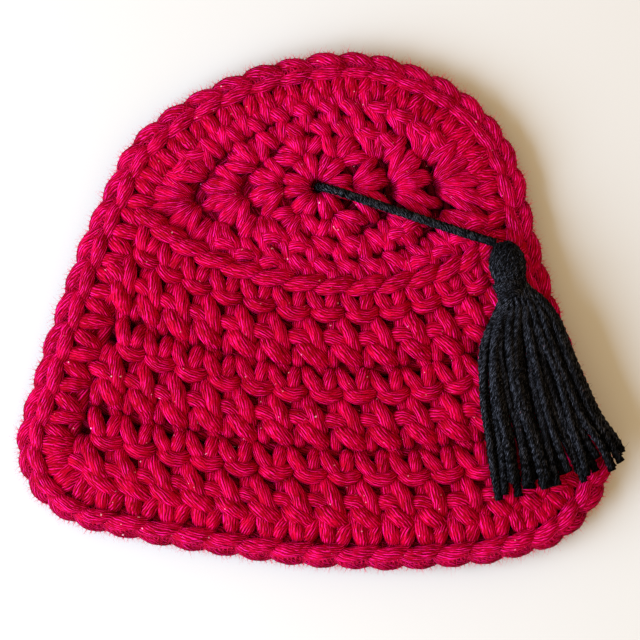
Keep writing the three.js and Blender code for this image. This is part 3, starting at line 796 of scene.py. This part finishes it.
def reach_to(line, direction):
    """How far it is from the crown's middle to a closed line, in a direction."""
    start = line - CROWN_CENTRE
    edge = np.roll(line, -1, axis=0) - line
    cross = direction[0] * edge[:, 1] - direction[1] * edge[:, 0]
    distance = (start[:, 0] * edge[:, 1] - start[:, 1] * edge[:, 0]) / cross
    share = (start[:, 0] * direction[1] - start[:, 1] * direction[0]) / cross
    return float(np.min(np.where((distance > 0) & (share >= 0) & (share <= 1), distance, 1e9)))


def crown_ray(turn):
    """The direction of a ray, and how far the crown reaches on it."""
    direction = np.array([math.cos(turn), math.sin(turn) * crown_squash])
    direction = turned(direction / np.linalg.norm(direction), CROWN_TILT)
    reach = reach_to(bed, direction) + REACH_OUT
    if math.sin(turn) < 0:
        reach = min(reach, reach_to(ridge_inner, direction) + REACH_RIDGE)
    return direction, reach


print("The crown's reach, mm:", [round(crown_ray(math.radians(turn))[1], 1) for turn in (0, 90, 180, 270)])

# %% The edges of the crown's rounds
# Shares of the way from the ring to the crown's edge where the rounds end: along its short and its long axis.
ROUND_SHARES = [(0.0, 0.0), (0.33, 0.28), (0.66, 0.60), (1.0, 1.0)]
EDGE_POINTS = 240


def round_edge(level):
    """The closed line on which a round ends, in even steps from the right end of the crown."""
    across, along = ROUND_SHARES[level]
    points = []
    for i in range(EDGE_POINTS):
        turn = 2 * math.pi * i / EDGE_POINTS
        direction, reach = crown_ray(turn)
        share = across + (along - across) * math.cos(turn) ** 2
        points.append(CROWN_CENTRE + direction * (RING_RADIUS + (reach - RING_RADIUS) * share))
    return smooth_line(points, 0.5, closed=True)[:-1]


round_edges = [round_edge(level) for level in range(4)]


def on_edge(level, share):
    """A spot on a round's edge, at a share of the way round."""
    line = round_edges[level]
    where = (share % 1) * len(line)
    i = int(where)
    part = where - i
    return line[i % len(line)] * (1 - part) + line[(i + 1) % len(line)] * part


print("Points on the rounds' edges:", [len(line) for line in round_edges])

# %% [markdown]
# ## The crown's stitches
# A stitch of the crown has two or three legs in front and two behind. They stand in a hole together and open towards
# their top. One stitch could be modelled and scaled to fit, but then its yarn would get thicker and thinner, so the
# tables give heights as shares and only the strand's line is stretched. Where four stitches crowd into one hole, their
# legs are thin there and dive into it. The painted shade at the strands' ends and near the fabric's middle darkens
# them there, and with their real depth this makes the dark hole with its petals.

# %% The strands of one stitch of a round
# Columns: across in millimetres, along as a share of the stitch's height, and up in millimetres.
LEG_LEFT = [(-0.3, 0.04, -1.2), (-0.8, 0.18, 1.6), (-1.6, 0.5, 3.5), (-2.3, 0.8, 2.8), (-2.6, 1.02, 0.2)]
LEG_MIDDLE = [(0.1, 0.1, -1.4), (0.1, 0.26, 1.0), (0.0, 0.56, 2.6), (0.0, 0.86, 1.7), (0.0, 1.0, -0.4)]
LEG_RIGHT = [(0.5, 0.04, -1.2), (1.0, 0.16, 1.5), (1.8, 0.46, 3.3), (2.5, 0.76, 2.6), (2.8, 0.96, 0.0)]
WRAP = [(2.9, 0.66, 0.8), (1.8, 0.6, 2.8), (0.2, 0.62, 3.9), (-1.5, 0.72, 3.4), (-2.6, 0.84, 1.0)]
UNDER_LEFT = [(-0.1, -0.1, 0.0), (-0.3, 0.05, -1.8), (-1.0, 0.45, -2.2), (-1.6, 0.9, -1.2)]
UNDER_RIGHT = [(0.2, -0.1, 0.0), (0.6, 0.05, -1.8), (1.2, 0.45, -2.1), (1.6, 0.9, -1.0)]
UNDER_BAR = [(3.2, 0.66, -0.8), (1.2, 0.72, -2.2), (-1.2, 0.7, -2.3), (-3.2, 0.6, -0.8)]
TALL_STITCH = 7.4
CLOSER, UPRIGHT = 0.25, 0.4  # how narrow crowded legs are in their hole, and how fast they spread
DIVE, DIVE_END = 2.2, 0.45  # how deep they dive into it, and up to which share of their height


def between(line, hole, top, twist=0.0, crowded=False):
    """A strand of a stitch that stands in a hole and ends at its top. Crowded stitches share a hole and fan out."""
    way = top - hole
    tall = np.linalg.norm(way)
    way = way / tall
    side = np.array([way[1], -way[0]])
    laid = []
    for x, share, z in line:
        spread = CLOSER + UPRIGHT * max(share, 0) if crowded else 1.0
        dive = DIVE * max(0, 1 - share / DIVE_END) if crowded else 0.0
        spot = hole + way * share * tall + side * (x * spread + twist * share)
        laid.append((spot[0], spot[1], fabric_height(z - dive)))
    return smooth_line(laid, STEP)


print("Height from which a stitch is wrapped, mm:", TALL_STITCH)

# %% Stitches in each round
crown_rounds = [[], [], []]
crown_holes = []  # middle and reach of each hole that the stitches stand in
# How many stitches stand in each hole of the round before: most at the two ends and one along the sides.
TOGETHER = [[3, 2, 2, 3, 2, 2]]
for holes in (14, 24):
    side = holes // 2
    TOGETHER.append([1 + 3 * (k % side == 0) + (k % side in (1, side - 1)) for k in range(holes)])
SHIFTS = [0, 0.2, 0.5, 0.8]  # each round leans a little further round than the one before
PETAL = (0.7, 1.2)  # a leg is thin in its hole and fat at its top
NARROW_PETAL = (0.35, 1.25)  # where four stitches share a hole
WIDE_HOLE, SMALL_HOLE = 3.4, 2.2  # how far round a hole the yarn gives way
SHORT_STITCH = 2.6  # a shorter one has no room
BACK = 1.3  # how far crowded stitches start behind their hole
for level, together in enumerate(TOGETHER):
    round_strands = crown_rounds[level]
    stitches = sum(together)
    made = 0
    for hole, count in enumerate(together):
        crowded = count > 2
        spot = on_edge(level, (hole + SHIFTS[level]) / len(together))
        crown_holes.append((spot, WIDE_HOLE if crowded else SMALL_HOLE))
        for _ in range(count):
            base = spot
            top = on_edge(level + 1, (made - 1 + SHIFTS[level + 1] + chance.uniform(-0.06, 0.06)) / stitches)
            made += 1
            tall = np.linalg.norm(top - base)
            if tall < SHORT_STITCH:
                continue
            if crowded:
                base = base - (top - base) / tall * BACK
            lean = chance.uniform(-0.4, 0.4)
            for line in (LEG_LEFT, LEG_RIGHT) if crowded else (LEG_LEFT, LEG_MIDDLE, LEG_RIGHT):
                round_strands.append((between(line, base, top, lean, crowded), NARROW_PETAL if crowded else PETAL))
            for line in (UNDER_LEFT, UNDER_RIGHT, UNDER_BAR):
                round_strands.append(between(line, base, top, lean))
            if tall > TALL_STITCH and not crowded:
                round_strands.append((between(WRAP, base, top, lean), (1.05, 1.05)))
print("Stitches in the rounds:", [sum(together) for together in TOGETHER], "holes:", len(crown_holes))

# %% The ring, and the holes
RING_STITCHES = 6
for k in range(RING_STITCHES):
    turn = 2 * math.pi * (k + 0.5) / RING_STITCHES
    out = np.array([math.cos(turn), math.sin(turn)])
    start, end = CROWN_CENTRE + out * 1.5, CROWN_CENTRE + out * 7.0
    for line in (LEG_LEFT, LEG_RIGHT, UNDER_LEFT, UNDER_RIGHT):
        narrow = [(x * 0.75, y, z) for x, y, z in line]
        crown_rounds[0].append((between(narrow, start, end), PETAL))
# The yarn gives way round each hole, so that the hole stays open and its legs stand round it.
for round_strands in crown_rounds:
    for strand in round_strands:
        strand = strand[0] if isinstance(strand, tuple) else strand
        for middle, reach in crown_holes[RING_STITCHES:]:
            away = strand[:, :2] - middle
            distance = np.linalg.norm(away, axis=1, keepdims=True) + 0.001
            strand[:, :2] = middle + away * np.where(distance < reach, (reach / distance) ** 0.5, 1)
print("Strands in the rounds:", [len(round_strands) for round_strands in crown_rounds])

# %% Close the rounds and make their pieces
CROWN_YARN = 0.9  # stretched yarn is thinner
for level in range(3):
    inner = round_edges[level][::3]
    outer = np.array([on_edge(level + 1, i / len(inner)) for i in range(len(inner))])
    for share in (0, 0.25, 0.5, 0.75, 1):
        line = inner * (1 - share) + outer * share
        crown_rounds[level].append(filling([*line, line[0]], -0.2 if share in (0, 1) else 0.3))
for level, round_strands in enumerate(crown_rounds):
    crown = yarn_piece(
        f"crown_round_{level + 1}_yarn", round_strands, YARN_RADIUS * CROWN_YARN, RED_OUTLINE, RED_TURN, crown_cotton_painted_lighter,
        SOFT_ENDS,
    )
    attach(crown, "root")
    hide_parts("crown")

# %% [markdown]
# ## Ridge
# Where the crown ends and the rows begin, the loops of the last round stand up as a rope along the front. A long
# twisted strand would look too even, so each loop is a short strand that starts behind the one before it and ends in
# front of the next, as in a rope.

# %% The ridge's loops
RIDGE_LOOPS = 14
LOOP_PITCH = 5.9
RIDGE_RISE = 2.1  # how far the ridge's middle stands over the fabric's
RIDGE_LOOP = [
    (-4.0, 1.0, -0.8), (-2.5, 0.9, 1.0), (-0.2, 0.3, 1.9), (2.0, -0.5, 1.6), (3.6, -0.9, 0.3), (4.4, -0.9, -0.9),
]
ridge_from, ridge_to = ridge_end(0, -1), ridge_end(0, 1)
ridge_strands = []
for k in range(RIDGE_LOOPS):
    laid = []
    for x, out, z in smooth_line(RIDGE_LOOP, STEP):
        degrees = ridge_from + (ridge_to - ridge_from) * (k + 0.5 + x / LOOP_PITCH) / RIDGE_LOOPS
        spot = ridge_spot(degrees, out)
        laid.append((spot[0], spot[1], FABRIC_MIDDLE + RIDGE_RISE + z))
    ridge_strands.append(np.array(laid))
ridge = yarn_piece("ridge_yarn", ridge_strands, YARN_RADIUS * 1.03, RED_OUTLINE, RED_TURN, raspberry_cotton, SOFT_ENDS)
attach(ridge, "root")
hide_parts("ridge")

# %% [markdown]
# ## Edging
# One round of stitches runs round the whole outline. Its legs reach into the rows and the crown, and its top loops
# make a plait that rolls over the rim. The plait could be one braid along a curve, but two strands per stitch that
# cross to and fro keep the stitches apart. They turn outwards by an angle that grows towards the lower edge, where the
# real edging rolls most.

# %% The tables of the edging's stitches
# Columns: along the edge, outwards and up, in millimetres.
EDGING_STITCHES = 54
EDGING_LEGS = {
    "leg_left": [(0.3, -3.6, -0.2), (-0.1, -2.0, 1.4), (-0.9, 0.4, 2.4), (-1.6, 2.4, 2.1), (-2.0, 4.0, 0.4)],
    "leg_right": [(0.6, -3.0, -0.4), (1.0, -1.4, 1.2), (1.7, 0.6, 2.2), (2.1, 2.4, 1.9), (2.3, 4.0, 0.2)],
    "under_left": [(-0.2, -2.4, 0.0), (-0.4, -0.8, -1.8), (-1.1, 1.4, -2.2), (-1.6, 3.8, -1.2)],
    "under_right": [(0.4, -2.4, 0.0), (0.8, -0.8, -1.8), (1.3, 1.4, -2.1), (1.6, 3.8, -1.0)],
}
CHAIN_MIDDLE = 5.7
CHAIN_ARM = [
    (-5.0, 1.0, -1.0), (-3.6, 1.6, 0.4), (-1.4, 1.75, 1.2), (1.0, 1.2, 1.4), (3.0, 0.6, 0.8), (4.6, 0.3, -0.7),
]
CHAIN_LIFT = 0.3
LEG_PITCH, CHAIN_PITCH = 6.2, 6.6
ROLL, ROLL_BELOW, ROLL_LEFT = 18, 42, 10  # degrees: everywhere, and what the lower and the left edge add


def chain_roll(share):
    """How far the plait turns outwards, in radians: most along the lower edge, least along the crown."""
    before, after = inside_outline(share - 0.002, 0), inside_outline(share + 0.002, 0)
    along = (after - before) / np.linalg.norm(after - before)
    out = np.array([-along[1], along[0]])
    return math.radians(ROLL + ROLL_BELOW * max(0, -out[1]) + ROLL_LEFT * max(0, -out[0]))


print("Roll at the right, below, left and above, degrees:", [round(math.degrees(chain_roll(k / 4))) for k in range(4)])

# %% Lay the edging's stitches
edging_strands = []
chain_strands = []
for k in range(EDGING_STITCHES):
    shift = (chance.uniform(-0.04, 0.04), chance.uniform(-0.2, 0.2))
    for line in EDGING_LEGS.values():
        laid = []
        for x, y, z in smooth_line(line, STEP):
            share = (k + 0.5 + x / LEG_PITCH + shift[0]) / EDGING_STITCHES
            spot = inside_outline(share, EDGING_WIDTH - y - shift[1])
            laid.append((spot[0], spot[1], fabric_height(z)))
        edging_strands.append((np.array(laid), PETAL))
    for side in (-1, 1):
        laid = []
        for x, across, up in smooth_line(CHAIN_ARM, STEP):
            share = (k + 0.5 + x / CHAIN_PITCH + shift[0]) / EDGING_STITCHES
            roll = chain_roll(share)
            a, b = side * across, up
            y = CHAIN_MIDDLE + a * math.cos(roll) + b * math.sin(roll)
            z = CHAIN_LIFT - a * math.sin(roll) + b * math.cos(roll)
            spot = inside_outline(share, EDGING_WIDTH - y)
            laid.append((spot[0], spot[1], fabric_height(z / PRESSED)))
        chain_strands.append(np.array(laid))
print("Strands of the legs and of the plait:", len(edging_strands), len(chain_strands))

# %% The edging's pieces
chain = yarn_piece("edging_chain_yarn", chain_strands, YARN_RADIUS, RED_OUTLINE, RED_TURN, rim_cotton_painted_lighter, SOFT_ENDS)
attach(chain, "root")
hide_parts("edging")
for depth, height in ((EDGING_WIDTH + 1.6, 0.2), (EDGING_WIDTH - 1.2, 0.5), (EDGING_WIDTH - 4.0, -0.4)):
    edging_strands.append(filling([inside_outline(i / 300, depth) for i in range(301)], height))
edging = yarn_piece(
    "edging_legs_yarn", edging_strands, YARN_RADIUS * 1.1, RED_OUTLINE, RED_TURN, raspberry_cotton, SOFT_ENDS
)
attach(edging, "root")
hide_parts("edging")

# %% [markdown]
# ## Tassel
# The tassel is a bundle of cut cords, folded over and tied below the head. Its skirt spreads over the rows and the
# edging, with a few thin gaps. Hair curves would do, but so few thick strands are better laid one by one: each runs
# through the head, the neck and the skirt at its own share of the width, wavers a little and ends at its own length.

# %% The tassel's shape
TASSEL_FLOOR = FABRIC_TOP + 0.5
HEAD_DEPTH = 5.4
TASSEL_LEAN = math.radians(-78)
way = np.array([math.cos(TASSEL_LEAN), math.sin(TASSEL_LEAN)])
across_way = np.array([-way[1], way[0]])


def tassel_spot(along, across, up):
    """A spot of the tassel, from lengths along it, across it and up from its middle."""
    spot = head_top + way * along + across_way * across
    return (spot[0], spot[1], TASSEL_FLOOR + HEAD_DEPTH / 2 + up)


# Where the skirt's two sides lie, across the tassel's line at lengths along it, in millimetres.
SKIRT_ALONG = [9.6, 13.0, 17.0, 20.5, 30.5, 39.0, 44.8, 51.0]
SKIRT_LEFT = [-1.9, -3.8, -6.9, -8.7, -10.6, -10.9, -11.4, -12.2]
SKIRT_RIGHT = [3.0, 5.8, 7.8, 8.6, 10.4, 12.4, 14.6, 16.4]
# How wide the head is at lengths along it, as a share of its full width.
HEAD_ALONG = [0.0, 1.0, 3.2, 5.6, 7.8]
HEAD_SHARE = [0.25, 0.65, 1.0, 1.0, 0.8]
print("The skirt's width at its end, mm:", round(SKIRT_RIGHT[-1] - SKIRT_LEFT[-1], 1))

# %% The tassel's strands
# Columns: strands in a layer, its level from the lowest to the highest, and its share of the skirt's width.
LAYERS = [(15, -1.75, 1.0), (12, -0.7, 0.98), (9, 0.4, 0.88), (6, 1.3, 0.66)]
STRAND_LENGTH = 50.5
LAYER_RISE = 1.05
FANNED = 1.07  # the outermost strands lie a little past the skirt's sides
INNER = 0.55  # how far the inner layers stand off the head's middle
NECK, FALL = 9.0, 16  # the skirt falls from here, over this length
HELD, LOOSENING = 12, 15  # the neck holds a strand up to here, and then it gets loose over this length
WAVE, WAVE_REACH = 9.0, 1.25
tassel_strands = []
for count, level, spread in LAYERS:
    for k in range(count):
        order = min(1, max(-1, (2 * (k + 0.5) / count - 1) * spread * FANNED + chance.uniform(-0.06, 0.06)))
        turn = math.acos(max(-1, min(1, order)))
        half_up = math.sin(turn) * (1 if level > -1 else -1) * (1.0 if level > 0 or level < -1 else INNER)
        length = (STRAND_LENGTH - 2.0 * max(0, order)) * chance.uniform(0.955, 1.03)
        points = []
        for along, share in zip(HEAD_ALONG, HEAD_SHARE):
            wide = order * share * (HEAD_WIDTH / 2 - CORD_RADIUS) + 0.2 + chance.uniform(-0.2, 0.2)
            points.append(tassel_spot(along, wide, half_up * share * (HEAD_DEPTH / 2 - CORD_RADIUS)))
        waver = chance.uniform(-1, 1)
        astray = chance.gauss(0, 0.13) * (1 - abs(order))
        for along in SKIRT_ALONG[:-1] + [length]:
            left = np.interp(along, SKIRT_ALONG, SKIRT_LEFT)
            right = np.interp(along, SKIRT_ALONG, SKIRT_RIGHT)
            loose = min(1, max(0, (along - HELD) / LOOSENING))
            across = left + (right - left) * (order + astray * loose + 1) / 2
            across += (waver * math.sin(along / WAVE + 5 * waver) * WAVE_REACH + chance.uniform(-0.25, 0.25)) * loose
            fall = min(1, max(0, (along - NECK) / FALL))
            rest = -HEAD_DEPTH / 2 + CORD_RADIUS + (level + 1.75) * LAYER_RISE
            high = half_up * 0.5 * (HEAD_DEPTH / 2 - CORD_RADIUS) * (1 - fall) + rest * fall
            points.append(tassel_spot(along, across, high + chance.uniform(-0.15, 0.3)))
        tassel_strands.append(smooth_line(points, 0.8))
print("Strands in the tassel:", len(tassel_strands))

# %% The tassel's neck and its piece
RING_POINTS = 16
NECK_ACROSS, NECK_UP = 2.5, 2.2  # half of the neck's width and height
TASSEL_TURN = 6.0
for k, along in enumerate((8.3, 9.2, 10.1)):
    ring = []
    for i in range(RING_POINTS + 1):
        turn = 2 * math.pi * i / RING_POINTS + k
        across = -0.5 + math.cos(turn) * (NECK_ACROSS - 0.25 * k)
        ring.append(tassel_spot(along + 0.12 * math.sin(turn), across, math.sin(turn) * NECK_UP))
    tassel_strands.append(smooth_line(ring, 0.6))
tassel = yarn_piece("tassel_strands", tassel_strands, CORD_RADIUS, BLACK_OUTLINE, TASSEL_TURN, black_cotton)
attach(tassel, "root")
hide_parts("tassel")
[tuple(p * MM) for p in smooth_line(cord_points, 1.5)]

# %% [markdown]
# ## Fuzz
# Cotton yarn is never clean: short fibres stand off it, and one sees them against the light along the outline. A hair
# system would do this in the editor. Short curves with a thin round bevel become plain meshes at once, which keeps
# them where they are when the part is exported. Real fibres are 0.02 mm thick or less, and these are as coarse as they
# need to be to show.

# %% Short hairs that stand off the yarn
SHORTEST = 0.3  # a hair's length is between this share of the full length and all of it, and more often short
HAIR_FLOOR = 0.15  # no hair goes through the table


def fuzz(name, strands, count, radius, length, thickness, material, lift, outwards):
    """Make count hairs at random spots of the strands. lift sends them up, and outwards away from the hat's middle."""
    curve = bpy.data.curves.new(name, "CURVE")
    curve.dimensions = "3D"
    curve.bevel_depth = thickness * MM
    curve.bevel_resolution = 0
    for _ in range(count):
        strand = strands[chance.randrange(len(strands))]
        strand = strand[0] if isinstance(strand, tuple) else strand
        i = chance.randrange(1, len(strand) - 1)
        along = strand[i + 1] - strand[i - 1]
        along = along / np.linalg.norm(along)
        side = np.array([chance.gauss(0, 1), chance.gauss(0, 1), abs(chance.gauss(0, 1)) * lift])
        side[:2] += strand[i][:2] / np.linalg.norm(strand[i][:2]) * outwards
        side = side - along * float(np.dot(side, along))
        side = side / np.linalg.norm(side)
        reach = length * chance.uniform(SHORTEST, 1.0) ** 1.5
        drift = chance.uniform(-0.9, 0.9)
        lean = along * drift + np.array([chance.gauss(0, 0.3), chance.gauss(0, 0.3), chance.gauss(0, 0.2)])
        spline = curve.splines.new("POLY")
        spline.points.add(2)
        for point, share in zip(spline.points, (0, 0.5, 1)):
            place = strand[i] + side * (radius * 0.9 + reach * share) + lean * reach * share * share * 0.7
            place[2] = max(place[2], HAIR_FLOOR)
            point.co = (*(place * MM), 1)
            point.radius = 1.0 - 0.6 * share
    return piece_from(name, curve, material)


# %% Fibres
def soft_fibre(name, colour):
    """Loose fibres of cotton: matt, with nearly no gloss, so they show as a soft edge and not as wires."""
    material = bpy.data.materials.new(name)
    material.use_nodes = True
    shader = material.node_tree.nodes["Principled BSDF"]
    shader.inputs["Base Color"].default_value = linear(colour)
    shader.inputs["Roughness"].default_value = 0.8
    shader.inputs["Specular IOR Level"].default_value = 0.1
    return material


# Single dyed fibres let light through, so against the table they look paler than the yarn.
raspberry_fibre = soft_fibre("raspberry_fibre", "DC0C50")
black_fibre = soft_fibre("black_fibre", "1C1C22")
# Columns: name, strands, hairs, yarn radius, length, thickness, material, upwards, outwards, node and slot.
FUZZ = [
    ("edging_fuzz", chain_strands, 11500, YARN_RADIUS, 1.1, 0.028, raspberry_fibre, 0.5, 1.3, "edging", "red_cotton"),
    ("edging_hairs", chain_strands, 9000, YARN_RADIUS, 1.8, 0.013, raspberry_fibre, 0.4, 1.6, "edging", "red_cotton"),
    (
        "crown_fuzz", sum(crown_rounds, []), 2500, YARN_RADIUS * CROWN_YARN, 1.0, 0.024, raspberry_fibre, 1.0, 0,
        "crown", "red_cotton",
    ),
    ("ridge_fuzz", ridge_strands, 600, YARN_RADIUS, 1.0, 0.024, raspberry_fibre, 1.0, 0, "ridge", "red_cotton"),
    ("tassel_fuzz", tassel_strands, 2600, CORD_RADIUS, 1.2, 0.026, black_fibre, 0.6, 0, "tassel", "black_cotton"),
]
for name, strands, count, radius, length, thickness, material, lift, outwards, node, slot in FUZZ:
    hairs = fuzz(name, strands, count, radius, length, thickness, material, lift, outwards)
    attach(hairs, "root")
    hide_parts(node)

# %% [markdown]
# ## Floor and light
# The hat lies on a white table by a window. The window is to the left and a little towards the lower edge, so the soft
# shadow falls to the right, and what the shadow gets is the warmer light of the room. A small lamp would draw a hard
# edge, so the window is a large area light, and the world gives the room's light.

# %% Floor
TABLE_WIDTH = 3.0
bpy.ops.mesh.primitive_plane_add(size=TABLE_WIDTH, location=(0, 0, 0))
floor = bpy.context.object
floor.name = "table_top"
# White laminate, slightly off white: plain and matt, so the shadow stays soft and nothing is mirrored.
table = bpy.data.materials.new("white_table")
table.use_nodes = True
table_shader = table.node_tree.nodes["Principled BSDF"]
table_shader.inputs["Base Color"].default_value = linear("D0D2D4")
table_shader.inputs["Roughness"].default_value = 0.6
floor.data.materials.append(table)
print("Table, m:", TABLE_WIDTH)

# %% Light
ROOM_LIGHT = 0.84
WINDOW_LIGHT = 18.5  # watts
WINDOW_WIDTH = 0.75  # metres, as its place is
WINDOW_PLACE = (-0.65, -0.21, 0.345)
world = bpy.data.worlds.new("studio")
world.use_nodes = True
world.node_tree.nodes["Background"].inputs["Color"].default_value = linear("FFDCA8")
world.node_tree.nodes["Background"].inputs["Strength"].default_value = ROOM_LIGHT
bpy.context.scene.world = world
window = bpy.data.lights.new("window", "AREA")
window.energy = WINDOW_LIGHT
window.color = (0.67, 0.82, 1.0)
window.size = WINDOW_WIDTH
window_object = bpy.data.objects.new("window", window)
window_object.location = WINDOW_PLACE
window_object.rotation_euler = (Vector((0, 0, 0)) - window_object.location).to_track_quat("-Z", "Y").to_euler()
bpy.context.scene.collection.objects.link(window_object)
bpy.context.scene.view_settings.view_transform = "Standard"
print("The window's distance, m:", round(window_object.location.length, 2))

# %% [markdown]
# ## Finish
# The bevels' outlines have done their work and are removed, because they are no pieces of the hat.

# %% Finish
for helper in (RED_OUTLINE, BLACK_OUTLINE):
    bpy.data.objects.remove(helper)
